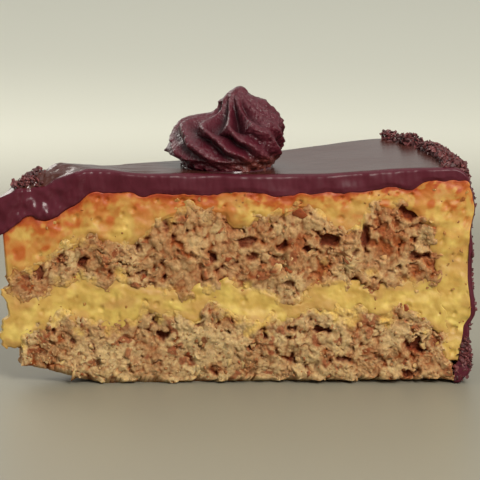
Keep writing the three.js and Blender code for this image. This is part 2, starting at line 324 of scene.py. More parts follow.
def carved(faces, radius, height, v, relief, to_inside, to_outside):
    """A layer whose cuts have relief(sheet, to_inside, to_outside): how far points stand out, and the fields
    that colour them. The last result is -1 on the front cut, 1 on the back cut and 0 elsewhere."""
    sheet = cut_sheet(radius, height, v)
    out, fields = relief(sheet, to_inside, to_outside)
    points = bend_into_slice(radius, height, v, out + cut_swell(sheet))
    return points, faces, fields, 1.0 * (v == 1) - (v == 0)


def stack_layer(grid, set_back, foot, foot_lap, top, relief):
    """A carved layer of the stack between two joints, which it laps over."""
    u, v, w, faces = block_skin(*grid)
    even = blend(TIP_RADIUS, UPPER_RADIUS, u)
    even = even + set_back * np.exp((TIP_RADIUS - even) / SET_BACK_REACH) * (1 - u)
    low = foot(even, v)
    high = top(even, v)
    height = low - foot_lap + (high - low + foot_lap + JOINT_LAP) * w
    radius = stretched(even, height, v)
    return carved(faces, radius, height, v, relief, height - low, high - height)


def make_piece(name, points, faces, fields, material, smooth=True):
    """A mesh that rides on the part's one body, from points in millimetres, faces of equal corner count
    and fields with one number per point."""
    mesh = bpy.data.meshes.new(name)
    mesh.from_pydata(points * MM, [], faces, shade_flat=not smooth)
    for field, values in fields.items():
        mesh.attributes.new(field, "FLOAT", "POINT").data.foreach_set("value", values)
    mesh.materials.append(material)
    piece = bpy.data.objects.new(name, mesh)
    scene.collection.objects.link(piece)
    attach(piece, "root")
    return piece


def linear(colour):
    """An sRGB hex colour as linear red, green and blue with full alpha."""
    channels = np.array([int(colour[k:k + 2], 16) for k in (1, 3, 5)]) / 255
    light = np.where(channels <= 0.04045, channels / 12.92, ((channels + 0.055) / 1.055) ** 2.4)
    return (*light.tolist(), 1.0)


READY_NODES = ("Principled BSDF", "Background")


def wire(owner, kind, inputs=None, **settings):
    """Adds one shader node to a material or the world, or takes the one that it comes with. Settings are
    the node's properties, and an input is a value or a node's output."""
    tree = owner.node_tree
    node = tree.nodes[kind] if kind in READY_NODES else tree.nodes.new("ShaderNode" + kind)
    for name, value in settings.items():
        setattr(node, name, value)
    for name, value in (inputs or {}).items():
        if isinstance(value, bpy.types.NodeSocket):
            tree.links.new(value, node.inputs[name])
        else:
            node.inputs[name].default_value = value
    return node.outputs


def new_material(name):
    """A material with its own shader and output, and the place that its patterns are read at."""
    material = bpy.data.materials.new(name)
    material.use_nodes = True
    return material, wire(material, "TexCoord")["Object"]


# Baked walnut sponge: dry matt crumb, pale where torn, with brown nut skin. Painted shade darkens it
# between grains and turns it red-brown deep in pores, holes and gaps.
sponge, place = new_material("baked_walnut_sponge")
CRUMB_GRIT = 0.55 * MM
TOASTED_PATCH = 9 * MM
grit = wire(sponge, "TexNoise", {"Vector": place, "Scale": 1 / CRUMB_GRIT, "Detail": 3.0})[0]
patch = wire(sponge, "TexNoise", {"Vector": place, "Scale": 1 / TOASTED_PATCH})[0]
toasted = wire(sponge, "MapRange", {"Value": patch, "From Min": 0.5, "From Max": 0.75, "To Max": 0.5})[0]
painted_deep_shade, tone, nut, skin, smear, stain = (
    wire(sponge, "Attribute", attribute_name=field)["Fac"]
    for field in ("painted_deep_shade", "tone", "nut", "skin", "smear", "stain")
)
colour = linear("#ad9468")
# Tone carries painted shade between grains, and the stain is deepened by painted shade in low places.
for share, over in (
    (tone, "#7a3a0e"), (toasted, "#85552f"), (nut, "#b89a68"), (skin, "#7a3a1b"), (smear, "#c0a156"),
    (stain, "#88441a"),
):
    colour = wire(sponge, "MixRGB", {"Fac": share, "Color1": colour, "Color2": linear(over)})[0]
shade = wire(sponge, "MapRange", {
    "Value": grit, "From Min": 0.3, "From Max": 0.7, "To Min": 0.8, "To Max": 1.1})[0]
colour = wire(sponge, "MixRGB", {"Fac": 1.0, "Color1": colour, "Color2": shade}, blend_type="MULTIPLY")[0]
# Painted shade: the deep places turn red-brown.
colour = wire(sponge, "MixRGB", {"Fac": painted_deep_shade, "Color1": colour, "Color2": linear("#5c1f0a")})[0]
bump = wire(sponge, "Bump", {"Height": grit, "Strength": 0.3, "Distance": 0.25 * MM})[0]
wire(sponge, "Principled BSDF", {
    "Base Color": colour, "Roughness": 0.85, "Specular IOR Level": 0.2, "Subsurface Weight": 0.9,
    "Subsurface Radius": (1.0, 0.85, 0.7), "Subsurface Scale": 0.9 * MM, "Normal": bump})


def lower_sponge_foot(radius, v):
    """Flat, but raised under the tip, and notched between the clumps along the two cuts."""
    near, pick = nearest_cells(cut_sheet(radius, 0 * radius, v), CLUMP_SIZE, 51)
    lost = (0.5 * near + 1.2 * (1 - pick)) * ease((radius - 5) / 12)
    edge = np.clip(1 - 12 * np.minimum(v, 1 - v), 0, 1)
    return along_line(LOWER_FOOT, radius) + lost * edge


lower_sponge_top = partial(joint_height, LOWER_TOP, JOINT_ROUGHNESS, 1)


def smeared_crumb(to_joint, sheet, reach):
    """Share of cream wiped over the crumb, in patches that fade away from a joint with the cream."""
    return 0.75 * ease(0.55 - to_joint / reach + 0.9 * fractal(sheet, 3.2, 3, 61))


def lower_sponge_relief(sheet, to_foot, to_top):
    """Crumb with cream wiped over its top. Towards the wall it is more open and more stained."""
    outer = ease((sheet[:, 0] - 84) / 24)
    stain = np.clip(0.25 * fractal(sheet, 5, 3, 62) + 0.28 * outer, 0, 0.9)
    smear = smeared_crumb(to_top, sheet, LOWER_SMEAR_REACH)
    return crumb_relief(sheet, smear, stain, to_top, 0.8 + 0.3 * outer, LOWER_HOLES)


points, faces, fields, side = stack_layer(
    SPONGE_GRID, LOWER_SET_BACK, lower_sponge_foot, 0.0, lower_sponge_top, lower_sponge_relief)
lower_sponge = make_piece("lower_walnut_sponge", points, faces, fields, sponge)
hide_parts("lower_sponge")


# Loose crumb and chopped walnut of the lower sponge
# Crumbs that the knife tore free and that cling to the cuts, and chopped walnut baked into the sponge, of
# which some pieces show their brown skin.

LOOSE_CRUMBS = 1300
CRUMB_RADIUS = (0.25, 1.1)
CHOPPED_NUTS = 70
NUT_RADIUS = (1.2, 2.4)
NUT_SKIN_SHARES = [0.15, 0.35, 0.7]
SKIN_SCRAPS = 0.04
CHIP_CORNERS = 12


def icosahedron():
    """Corners of a regular twenty-sided solid, 1 from its middle, and its faces: the triples of
    neighbouring corners, turned outwards."""
    gold = (1 + sqrt(5)) / 2
    corners = []
    for a, b in ((1, gold), (-1, gold), (1, -gold), (-1, -gold)):
        corners += [(0, a, b), (a, b, 0), (b, 0, a)]
    corners = np.array(corners) / hypot(1, gold)
    near = np.linalg.norm(corners[:, None] - corners[None], axis=-1) < 1.2
    faces = np.array([(i, j, k) for i in range(CHIP_CORNERS) for j in range(i) for k in range(j)
                      if near[i, j] and near[j, k] and near[i, k]])
    a, b, c = (corners[faces[:, n]] for n in range(3))
    inside_out = np.einsum("ij,ij->i", np.cross(b - a, c - a), a + b + c) < 0
    faces[inside_out] = faces[inside_out][:, ::-1]
    return corners, faces


def random_turns(count, draw):
    """Rotation matrices from random unit quaternions."""
    q = draw.normal(size=(count, 4))
    w, x, y, z = (q / np.linalg.norm(q, axis=1, keepdims=True)).T
    rows = [
        [1 - 2 * (y * y + z * z), 2 * (x * y - w * z), 2 * (x * z + w * y)],
        [2 * (x * y + w * z), 1 - 2 * (x * x + z * z), 2 * (y * z - w * x)],
        [2 * (x * z - w * y), 2 * (y * z + w * x), 1 - 2 * (x * x + y * y)],
    ]
    return np.moveaxis(np.array(rows), -1, 0)


def scattered(centres, halves, uneven, draw):
    """A chip at each centre, all joined: the twenty-sided solid with its corners moved at random,
    stretched to its half sizes and turned at random."""
    corners, faces = icosahedron()
    shape = corners * (1 + uneven * draw.uniform(-1, 1, (len(centres), CHIP_CORNERS, 1)))
    turns = random_turns(len(centres), draw)
    points = np.einsum("nij,nkj->nki", turns, shape * halves[:, None]) + centres[:, None]
    joined = faces[None] + CHIP_CORNERS * np.arange(len(centres))[:, None, None]
    return points.reshape(-1, 3), joined.reshape(-1, 3)


def inward(side):
    """The way into the cake from each cut, told by its side."""
    return np.where(side[:, None] < 0, [0, 1, 0], [sin(SLICE_ANGLE), -cos(SLICE_ANGLE), 0])


def crumbs_and_nuts(points, fields, side, draw):
    """Crumbs and nuts at random points of the cuts, fewer in holes and under cream. Most crumbs are small
    and a few are scraps of nut skin. Nuts are sunk, with skin at some corners."""
    chance = np.abs(side) * (1 - 0.7 * fields["painted_deep_shade"]) * (1 - 0.95 * fields["smear"])
    count = LOOSE_CRUMBS + CHOPPED_NUTS
    spot = draw.choice(len(points), count, replace=False, p=chance / chance.sum())
    is_nut = np.arange(count) >= LOOSE_CRUMBS
    size = blend(*CRUMB_RADIUS, draw.beta(1.2, 3.4, count))
    size = np.where(is_nut, draw.uniform(*NUT_RADIUS, count), size)
    halves = size[:, None] * draw.uniform(0.35, 1.2, (count, 3))
    centres = points[spot] + draw.normal(0, 0.12, (count, 3))
    centres = centres + inward(side[spot]) * np.where(is_nut, 0.7, 0.4)[:, None] * size[:, None]
    centres[:, 2] = np.maximum(centres[:, 2], size)
    chips, chip_faces = scattered(centres, halves, 0.45, draw)
    chips[:, 2] = np.maximum(chips[:, 2], 0)
    each = {
        # Crumbs keep some of the painted shade of the spot they sit on; nuts get none.
        "painted_deep_shade": 0.6 * fields["painted_deep_shade"][spot] * ~is_nut,
        "tone": 0.15 + 0.65 * draw.random(count),
        "nut": is_nut * 1.0,
        "skin": (draw.random(count) < SKIN_SCRAPS) * 0.8,
        "smear": fields["smear"][spot] * draw.uniform(0.3, 1, count) * ~is_nut,
        "stain": fields["stain"][spot],
    }
    chip_fields = {name: np.repeat(values, CHIP_CORNERS) for name, values in each.items()}
    rim = draw.random(len(chips)) < np.repeat(draw.choice(NUT_SKIN_SHARES, count), CHIP_CORNERS)
    chip_fields["skin"] = np.where(np.repeat(is_nut, CHIP_CORNERS), rim, chip_fields["skin"]) * 1.0
    return chips, chip_faces, chip_fields


draw = np.random.default_rng(3)
points, faces, fields = crumbs_and_nuts(points, fields, side, draw)
lower_crumbs = make_piece("lower_sponge_crumbs", points, faces, fields, sponge)


# Custard cream filling
# Butter cream made with egg custard, spread between the sponges. It is soft and moist, the knife has dragged
# it along the cut, and crumbs stick in it.

UPPER_FOOT = [
    (3, 23.3), (8.5, 22), (25, 26.8), (46, 22.9), (60, 25.1), (75, 22), (87, 25.1), (99, 23.8), (113, 27.2),
]
GLAZE_FOOT = [
    (2, 37.6), (10, 43), (13, 42), (27, 48.4), (34, 48.7), (44, 47.8), (59, 48.6), (68, 47.9), (84, 48.6),
    (105, 49.8), (111, 51.7), (118, 52.2),
]
GLAZE_ROUGHNESS = 0.7

# Runs of melted chocolate on the front cut: radius, height, half width and half height.
SOAKED_RUNS = [
    (96.8, 45.7, 1.5, 2.8), (115.2, 45.2, 1.2, 1.2), (20.2, 41.6, 1.8, 1.5), (49.8, 45.2, 3, 1.8),
    (6.8, 33.8, 1.5, 1.8), (13.5, 35.3, 2, 1.2), (87.8, 47.7, 1.2, 1), (30.2, 41.6, 2.2, 1.2),
    (109.8, 46.2, 1.5, 1.5),
]
RUN_STRENGTH = 0.62
AIR_HOLE_SPACING = 5.5
FILLING_GRID = (400, 12, 28)
upper_sponge_foot = partial(joint_height, UPPER_FOOT, JOINT_ROUGHNESS, 2)
glaze_foot = partial(joint_height, GLAZE_FOOT, GLAZE_ROUGHNESS, 4)


def soaked_share(sheet):
    """Share of melted chocolate: most at the glaze's edge, then falling off with depth in hanging runs,
    deeper at the tip and spotted towards the wall. Listed runs are soft ellipses on the front cut."""
    radius = sheet[:, 0]
    depth = np.maximum(glaze_foot(radius, (sheet[:, 2] > 0) * 1.0) - sheet[:, 1], 0)
    bent = sheet + 1.3 * np.stack([fractal(sheet, 4, 3, 86), fractal(sheet, 4, 3, 87), 0 * radius], -1)
    hanging = fractal(bent * [1, 0.8, 1], 3.4, 4, 81)
    runs = ease(0.5 + 0.65 * hanging + 0.45 * fractal(sheet, 1.3, 2, 88))
    rich = 0.3 + 0.55 * runs - 0.08 * ease((20 - radius) / 12)
    patchy = ease((radius - 86) / 10)
    spots = ease((fractal(bent, 2.6, 3, 90) - 0.05) / 0.4)
    share = rich + patchy * (0.2 + 0.5 * runs**2 + 0.45 * spots - rich)
    reach = 7 + 4 * ease((38 - radius) / 12) + 3 * patchy
    soaked = np.clip((0.5 - 0.15 * patchy) * np.exp(-depth) + share * np.exp(-depth / reach), 0, 1)
    for place, height, wide, tall in SOAKED_RUNS:
        away = np.hypot((bent[:, 0] - place) / wide, (bent[:, 1] - height) / tall)
        run = ease(1.1 - 0.6 * away + 0.4 * fractal(sheet, 2, 2, 89)) * (sheet[:, 2] == 0)
        soaked = np.maximum(soaked, RUN_STRENGTH * run)
    return soaked


def cream_relief(sheet, to_joint):
    """Knife drags, long along the radius, curdled grain and small air holes. Dragged crumb has browned it
    in patches, most of all beside a joint."""
    drag = sheet * [0.6, 1.1, 1]
    out = 0.3 * fractal(drag, 4.2, 3, 71) + 0.12 * fractal(sheet, 1.3, 2, 72) + 0.2 * lumps(drag, 2.4, 74)
    near, pick = nearest_cells(sheet, AIR_HOLE_SPACING, 73)
    out = out - 0.6 * ease(1.5 - near / (0.2 + 0.6 * pick))
    mottle = fractal(sheet, 1.8, 3, 83)
    browned = fractal(drag, 4.5, 3, 85) + 0.3 * mottle + 0.8 * ease(1 - to_joint / 1.8)
    fields = {
        "stain": soaked_share(sheet),
        "dragged": 0.75 * ease((browned - 0.1) / 0.8),
        "curd": 0.5 + 0.5 * mottle,
    }
    return out - sunk(to_joint), fields


# Custard butter cream: fatty and smooth, with a soft moist gloss, stained brown by melted chocolate.
cream, place = new_material("custard_butter_cream")
CREAM_RIPPLE = 1.6 * MM
CREAM_PATCH = 6 * MM
ripple = wire(cream, "TexNoise", {"Vector": place, "Scale": 1 / CREAM_RIPPLE, "Detail": 3.0})[0]
patch = wire(cream, "TexNoise", {"Vector": place, "Scale": 1 / CREAM_PATCH, "Detail": 3.0})[0]
stain, dragged, curd = (
    wire(cream, "Attribute", attribute_name=field)["Fac"] for field in ("stain", "dragged", "curd")
)
tone = wire(cream, "MapRange", {"Value": patch, "From Min": 0.4, "From Max": 0.7, "To Max": 0.5})[0]
thin = wire(cream, "MapRange", {"Value": stain, "From Max": 0.6})[0]
strong = wire(cream, "MapRange", {"Value": stain, "From Min": 0.55})[0]
colour = linear("#a3863f")
for share, over in (
    (curd, "#c4ac5b"), (tone, "#ac843d"), (dragged, "#a27c42"), (thin, "#a0551b"), (strong, "#8a310b"),
):
    colour = wire(cream, "MixRGB", {"Fac": share, "Color1": colour, "Color2": linear(over)})[0]
rough = wire(cream, "MapRange", {
    "Value": ripple, "From Min": 0.3, "From Max": 0.7, "To Min": 0.42, "To Max": 0.6})[0]
bump = wire(cream, "Bump", {"Height": ripple, "Strength": 0.4, "Distance": 0.3 * MM})[0]
wire(cream, "Principled BSDF", {
    "Base Color": colour, "Roughness": rough, "Specular IOR Level": 0.3, "Subsurface Weight": 0.25,
    "Subsurface Radius": (1.0, 0.6, 0.25), "Subsurface Scale": 1.2 * MM, "Normal": bump})

points, faces, fields, side = stack_layer(
    FILLING_GRID, 0.0, lower_sponge_top, JOINT_LAP, upper_sponge_foot,
    lambda sheet, to_foot, to_top: cream_relief(sheet, np.minimum(to_foot, to_top)))
filling = make_piece("custard_filling", points, faces, fields, cream)
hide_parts("cream_filling")
cream_cuts = [(points, side)]


# Upper walnut sponge
# The same sponge as below, laid on the filling. It is thinner towards the tip, where it has sunk, and melted
# chocolate has soaked into it from above.

UPPER_SET_BACK = 1.0
UPPER_TOP = [
    (3, 28.4), (28, 38), (34, 36.2), (47, 44.6), (57, 44), (65, 41.8), (78, 44.8), (90, 39), (102, 47.2),
    (107, 45.6), (113, 41.5),
]
UPPER_HOLES = [
    (84.2, 37.3, 2, 2, 3), (93.8, 37.3, 0.9, 2.8, 2.6), (105, 43.7, 2.2, 1.5, 2.8),
    (79.8, 34.3, 1.8, 0.8, 2.2), (73, 35.5, 1.2, 1, 2), (54.8, 31.5, 1, 1.8, 2.4), (91, 26.9, 1.2, 0.8, 1.8),
    (64, 36.8, 2.2, 1.5, 1.6), (65.2, 32.2, 2, 1.2, 1.8), (27.8, 37.3, 1, 1.5, 2), (22.8, 30.5, 0.8, 1.5, 2),
    (17.5, 32.5, 1, 1.8, 1.8), (12, 28.9, 1.2, 1.5, 1.8), (111.8, 39.6, 1, 1.8, 2),
    (106.8, 32.7, 2.2, 0.8, 1.8), (75, 25.9, 1.2, 0.8, 1.6), (43.8, 40.9, 1.5, 1.2, 1.2),
    (43.5, 27.4, 0.6, 0.6, 1.8), (53.8, 28.2, 1, 1, -0.7), (28.5, 31.7, 1, 1.5, -0.8),
    (68.2, 28.2, 1.5, 1.5, -0.6), (99.8, 38.8, 1.5, 1.8, -0.6),
]
UPPER_SMEAR_REACH = 3.8
DRAGGED_SMEAR_REACH = 5.0
upper_sponge_top = partial(joint_height, UPPER_TOP, JOINT_ROUGHNESS, 3)


def upper_sponge_relief(sheet, to_foot, to_top):
    """Crumb with cream wiped over its edges, most of all where the knife dragged the filling up. Chocolate
    stains it from above, and it is more open at the upper outer end."""
    radius = sheet[:, 0]
    to_joint = np.minimum(to_foot, to_top)
    outer = ease((radius - 93) / 8) * ease((sheet[:, 1] - 27) / 8)
    stain = 0.28 + 0.35 * fractal(sheet, 6, 3, 63) + 0.5 * soaked_share(sheet) + 0.25 * outer
    dragged = ease((radius - 76) / 8) * ease((101 - radius) / 8) * (to_foot < to_top)
    smear = smeared_crumb(to_joint, sheet, UPPER_SMEAR_REACH + DRAGGED_SMEAR_REACH * dragged)
    return crumb_relief(sheet, smear, np.clip(stain, 0, 0.9), to_joint, 1.4 + 0.8 * outer, UPPER_HOLES)


points, faces, fields, side = stack_layer(
    SPONGE_GRID, UPPER_SET_BACK, upper_sponge_foot, JOINT_LAP, upper_sponge_top, upper_sponge_relief)
upper_sponge = make_piece("upper_walnut_sponge", points, faces, fields, sponge)
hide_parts("upper_sponge")

points, faces, fields = crumbs_and_nuts(points, fields, side, draw)
upper_crumbs = make_piece("upper_sponge_crumbs", points, faces, fields, sponge)


# Custard cream coat
# The same cream, spread over the top and the outer wall before the chocolate was poured. Melted chocolate
# has run into it under the glaze.

COAT_FOOT = 6.0
COAT_CORNER = 1.4

# Height and radius of the coat's outside, as wavy as a spatula leaves it.
COAT_WALL = [
    (6, 117.2), (14, 118.4), (18, 120.2), (28, 119.3), (38, 119.6), (45, 120.7), (48, 120.2), (52, 118.9),
]
EDGE_HEIGHT = 50.0
EDGE_SHARE = 0.15
COAT_GRID = (400, 110, 12, 32)
coat_wall = partial(along_line, COAT_WALL)


def rounded_line(joint, tip, corner, wall, foot, s, v):
    """A surface's line over the top (s from 0 to 1) and down the wall (s from 1 to 2): its top follows a
    joint, a quarter circle turns it down, and its wall stands at wall(height) to a foot."""
    start = wall(np.array(EDGE_HEIGHT)) - corner
    top_radius = blend(tip, start, np.clip(s, 0, 1))
    top = joint(top_radius, v)
    turn = np.clip((s - 1) / EDGE_SHARE, 0, 1) * pi / 2
    down = np.clip((s - 1 - EDGE_SHARE) / (1 - EDGE_SHARE), 0, 1)
    height = top - corner * (1 - np.cos(turn))
    height = blend(height, foot, down)
    radius = top_radius + corner * np.sin(turn)
    return np.where(down > 0, wall(height), radius + tip_ragged(radius, height)), height


def hanging_layer(grid, inside, outside, relief):
    """A carved layer over the top and down the wall, between an inside and an outside line, with cells
    along, down, around and across."""
    along, down, around, across = grid
    u, v, w, faces = block_skin(along + down, around, across)
    cell = u * (along + down)
    s = np.where(cell <= along, cell / along, 1 + (cell - along) / down)
    (r0, z0), (r1, z1) = inside(s, v), outside(s, v)
    radius = blend(r0, r1, w)
    height = blend(z0, z1, w)
    thickness = np.hypot(r1 - r0, z1 - z0)
    return carved(faces, radius, height, v, relief, thickness * w, thickness * (1 - w))


def coat_inside(s, v):
    """The top of the upper sponge, then the wall of the stack, both lapped under a little."""
    even = blend(TIP_RADIUS, UPPER_RADIUS, np.clip(s, 0, 1))
    top = upper_sponge_top(even, v)
    height = blend(top, COAT_FOOT, np.clip(s - 1, 0, 1))
    turned = ease((s - 1) / EDGE_SHARE)
    return stretched(even, height, v) - JOINT_LAP * turned, height - JOINT_LAP * (1 - turned)


coat_outside = partial(rounded_line, glaze_foot, TIP_RADIUS, COAT_CORNER, coat_wall, COAT_FOOT)
points, faces, fields, side = hanging_layer(
    COAT_GRID, coat_inside, coat_outside,
    lambda sheet, to_inside, to_outside: cream_relief(sheet, to_inside - JOINT_LAP))
coat = make_piece("custard_coat", points, faces, fields, cream)
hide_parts("cream_coat")
cream_cuts.append((points, side))


# Crumbs in the cream
# Sponge crumbs that the knife dragged into the filling and the coat, most of them towards the outer wall.
# The cream holds them and has coated some.

STRAYS = 160
STRAY_RADIUS = (0.3, 1.5)
STRAY_SKIN_SHARE = 0.12

points, side = (np.concatenate(arrays) for arrays in zip(*cream_cuts))
on_cut = np.flatnonzero(side)
chance = 1 + 3 * ease((points[on_cut, 0] - AXIS[0]) / 25 - 4)
spot = draw.choice(on_cut, STRAYS, replace=False, p=chance / chance.sum())
size = blend(*STRAY_RADIUS, draw.beta(1.2, 4, STRAYS))
centres = points[spot] + inward(side[spot]) * 0.4 * size[:, None]
halves = size[:, None] * draw.uniform(0.4, 1.2, (STRAYS, 3))
points, faces = scattered(centres, halves, 0.35, draw)
# The first range is a faint painted shade, at random.
ranges = {"painted_deep_shade": (0, 0.1), "tone": (0.2, 1), "skin": (0, 1), "smear": (0, 0.6), "stain": (0, 0.5)}
each = {name: draw.uniform(*span, STRAYS) for name, span in ranges.items()}
each["skin"] = (each["skin"] < STRAY_SKIN_SHARE) * 1.0
each["nut"] = np.zeros(STRAYS)
fields = {name: np.repeat(values, CHIP_CORNERS) for name, values in each.items()}
stray_crumbs = make_piece("stray_crumbs", points, faces, fields, sponge, smooth=False)


# Chocolate glaze
# Dark chocolate melted with butter and poured over the coat. It set smooth and glossy on top, drooped over
# the tip, ran down the outer wall as a thin skin and pooled at its foot. The knife left soft edges.

GLAZE_TOP = [(1.5, 47.2), (7, 49.2), (25, 54.6), (40, 53.5), (77, 53.4), (115, 55.2)]
GLAZE_TIP = 1.6
GLAZE_UNDER_TIP = 2.0
GLAZE_LOWEST = 0.4
GLAZE_CORNER = 5.0
GLAZE_TOE_RADIUS = 116.2
GLAZE_TOE = [(COAT_FOOT - 2, 0), (COAT_FOOT, 1)]
GLAZE_CUT_EDGE = 1.2
GLAZE_GRID = (360, 90, 44, 16)

# Thickness of the glaze on the wall: height and thickness.
GLAZE_WALL = [(0.4, 0.8), (3, 3.0), (7, 3.2), (10.5, 1.9), (18, 1.3), (34, 1.1), (41, 0.35), (52, 0.35)]

# Folds at the tip: radius, share v, size and height.
GLAZE_FOLDS = [(4.5, 0.5, 2.2, 1.4), (9, 0.6, 2.6, 2.4), (12.5, 0.7, 2.4, 2.2), (17, 0.8, 3.5, 0.8)]


def glaze_radius(height):
    """Radius of the outside: a thin skin on the coat, thicker further down, where it pooled."""
    return coat_wall(height) + along_line(GLAZE_WALL, height)


def glaze_toe(height):
    """Radius of the inside, which runs in under the cream."""
    return blend(GLAZE_TOE_RADIUS, coat_wall(height), along_line(GLAZE_TOE, height))


def glaze_top(radius, v):
    """Poured level with a faint waviness, with folds that fall off as bell curves where it slid over the
    tip. Fine wrinkles and coarser lumps grow towards the tip."""
    spot = in_plan(radius, v, 0.0)
    height = along_line(GLAZE_TOP, drifted(radius, v)) + 0.12 * fractal(spot, 22, 2, 92)
    for fold, share, size, rise in GLAZE_FOLDS:
        middle = in_plan(np.array(fold), share, 0.0)
        height = height + rise * np.exp(-np.sum((spot - middle) ** 2, axis=-1) / size**2)
    height = height + 0.12 * fractal(spot * [0.25, 1, 1], 2.4, 3, 97) * ease((56 - radius) / 22)
    return height + 0.9 * fractal(spot, 3.2, 3, 91) * ease((26 - radius) / 18)


glaze_inside = partial(rounded_line, glaze_foot, GLAZE_UNDER_TIP, COAT_CORNER, glaze_toe, GLAZE_LOWEST)
glaze_outside = partial(rounded_line, glaze_top, GLAZE_TIP, GLAZE_CORNER, glaze_radius, GLAZE_LOWEST)


def glaze_relief(sheet, to_inside, to_outside):
    """Short drag marks down the cut, a slow waviness, lumps at the tip, and an upper edge rounded by a
    quarter circle. It is glossier towards the tip."""
    edge = np.clip(1 - to_outside / GLAZE_CUT_EDGE, 0, 1)
    rounding = GLAZE_CUT_EDGE * (1 - np.sqrt(1 - edge**2))
    marks = 0.12 * fractal(sheet * [1, 0.3, 1], 1.6, 3, 93)
    folds = 0.9 * fractal(sheet, 4, 3, 96) * ease((30 - sheet[:, 0]) / 18)
    swollen = (0.3 + 0.3 * fractal(sheet, 7, 2, 94)) * ease(to_inside / 1.5)
    return swollen + marks + folds - rounding, {"gloss": ease((34 - sheet[:, 0]) / 16)}


# Chocolate glaze: cocoa and butter, glossy brown where poured, redder and duller where cut.
GLAZE_RIPPLE = 5 * MM
GLAZE_BLOOM = 2.2 * MM
DROOPED_ROUGHNESS = 0.22
glaze_finishes = []
for name, dark, pale, shine, roughness in (
    ("poured_chocolate_glaze", "#331511", "#48261f", 0.3, 0.23),
    ("cut_chocolate_glaze", "#3c0d17", "#501b27", 0.2, 0.38),
):
    finish, place = new_material(name)
    ripple = wire(finish, "TexNoise", {"Vector": place, "Scale": 1 / GLAZE_RIPPLE})[0]
    bloom = wire(finish, "TexNoise", {"Vector": place, "Scale": 1 / GLAZE_BLOOM, "Detail": 4.0})[0]
    colour = wire(finish, "MixRGB", {"Fac": bloom, "Color1": linear(dark), "Color2": linear(pale)})[0]
    gloss = wire(finish, "Attribute", attribute_name="gloss")["Fac"]
    rough = wire(finish, "MapRange", {"Value": gloss, "To Min": roughness, "To Max": DROOPED_ROUGHNESS})[0]
    bump = wire(finish, "Bump", {"Height": ripple, "Strength": 0.25, "Distance": 0.3 * MM})[0]
    wire(finish, "Principled BSDF", {
        "Base Color": colour, "Roughness": rough, "Specular IOR Level": shine, "Normal": bump})
    glaze_finishes.append(finish)

points, faces, fields, side = hanging_layer(GLAZE_GRID, glaze_inside, glaze_outside, glaze_relief)
glaze = make_piece("poured_glaze", points, faces, fields, glaze_finishes[0])
glaze.data.materials.append(glaze_finishes[1])
cut = np.all(np.abs(side)[faces] == 1, axis=1)
glaze.data.polygons.foreach_set("material_index", cut.astype(np.int32))
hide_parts("chocolate_glaze")


# Chocolate flakes
# Dark chocolate grated over the rim and the tip and pressed onto the outer wall while the glaze was soft.
# Each flake is a thin broken chip.

RIM_FLAKES = 2400
RIM_GAPS = 5.0
WALL_FLAKES = 700
FOOT_FLAKES = 500
CUT_FLAKES = 160
TIP_FLAKES = 150
FLAKE_HALF = (0.28, 0.7, 0.5)

# Stretches of the glaze's line, from 0 at the tip over 1 at the rim to 2 at the foot, that hold the flakes.
RIM_TOP = (0.984, 1.0)
RIM_EDGE = (1.0, 1.11)
WALL_STRETCH = (1.12, 1.9)
FOOT_STRETCH = (1.86, 1.99)
CUT_STRETCH = (1.8, 1.99)
TIP_MIDDLE = 0.062
TIP_SPREAD = 0.016
BETWEEN_CUTS = (0.005, 0.995)
ACROSS_TIP = (0.1, 0.9)

draw = np.random.default_rng(7)
rim_v = draw.uniform(*BETWEEN_CUTS, RIM_FLAKES)
clumped = fractal(np.outer(rim_v, [SLICE_ANGLE * CAKE_RADIUS, 0, 0]), RIM_GAPS, 3, 95)
kept = clumped + draw.uniform(-0.5, 0.5, RIM_FLAKES) > -0.15
rim_v = rim_v[kept]
clumped = clumped[kept]
on_top = draw.random(len(rim_v)) < 0.5
rim_s = np.where(on_top, draw.uniform(*RIM_TOP, len(rim_v)), draw.uniform(*RIM_EDGE, len(rim_v)))
wall_v = draw.uniform(*BETWEEN_CUTS, WALL_FLAKES + FOOT_FLAKES)
wall_s = np.concatenate([draw.uniform(*WALL_STRETCH, WALL_FLAKES), draw.uniform(*FOOT_STRETCH, FOOT_FLAKES)])
cut_v = np.round(draw.random(CUT_FLAKES))
cut_s = draw.uniform(*CUT_STRETCH, CUT_FLAKES)
tip_v = draw.uniform(*ACROSS_TIP, TIP_FLAKES)
tip_s = draw.normal(TIP_MIDDLE, TIP_SPREAD, TIP_FLAKES)
flake_v = np.concatenate([rim_v, wall_v, cut_v, tip_v])
flake_s = np.concatenate([rim_s, wall_s, cut_s, tip_s])
depth = np.concatenate([0 * rim_v, 0 * wall_v, draw.random(CUT_FLAKES), 0 * tip_v])
(r0, z0), (r1, z1) = glaze_inside(flake_s, flake_v), glaze_outside(flake_s, flake_v)
centres = bend_into_slice(blend(r1, r0, depth), blend(z1, z0, depth), flake_v, 0 * depth)
centres[:len(rim_v), 2] += (0.9 + 1.5 * rim_v + 1.4 * clumped) * draw.uniform(-0.1, 1, len(rim_v))
centres[-TIP_FLAKES:, 2] += draw.uniform(-0.3, 0.9, TIP_FLAKES)
halves = FLAKE_HALF * draw.uniform(0.5, 1.4, (len(centres), 3))
points, faces = scattered(centres, halves, 0.35, draw)
points[:, 2] = np.maximum(points[:, 2], 0)
fields = {"shade": np.repeat(draw.random(len(centres)), CHIP_CORNERS)}

